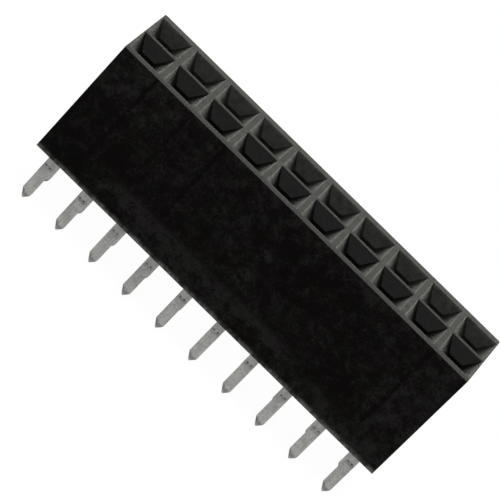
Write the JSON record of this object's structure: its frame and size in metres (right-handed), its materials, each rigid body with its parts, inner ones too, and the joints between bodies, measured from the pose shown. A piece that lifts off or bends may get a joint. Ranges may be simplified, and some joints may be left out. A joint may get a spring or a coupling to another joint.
{
  "type": "female pin header strip",
  "caption": "Straight dual-row socket strip for square posts: black moulded housing with funnel lead-ins and stamped spring contacts ending in pointed solder tails.",
  "frame": {"origin": "middle of the seating plane, where the underside of the housing meets the board", "axes": "+X along the strip, +Y from row a to row b, +Z towards the mating face, with the solder tails below Z = 0"},
  "size_m": [0.0252, 0.0058, 0.0119],
  "materials": {
    "housing": "black glass-filled thermoplastic, satin from the mould",
    "contact": "matte tin plate over a copper alloy"
  },
  "bodies": {
    "root": {"housing": "housing", "contact_a01": "contact", "contact_a02": "contact", "contact_a03": "contact", "contact_a04": "contact", "contact_a05": "contact", "contact_a06": "contact", "contact_a07": "contact", "contact_a08": "contact", "contact_a09": "contact", "contact_a10": "contact", "contact_b01": "contact", "contact_b02": "contact", "contact_b03": "contact", "contact_b04": "contact", "contact_b05": "contact", "contact_b06": "contact", "contact_b07": "contact", "contact_b08": "contact", "contact_b09": "contact", "contact_b10": "contact"}
  },
  "joints": []
}
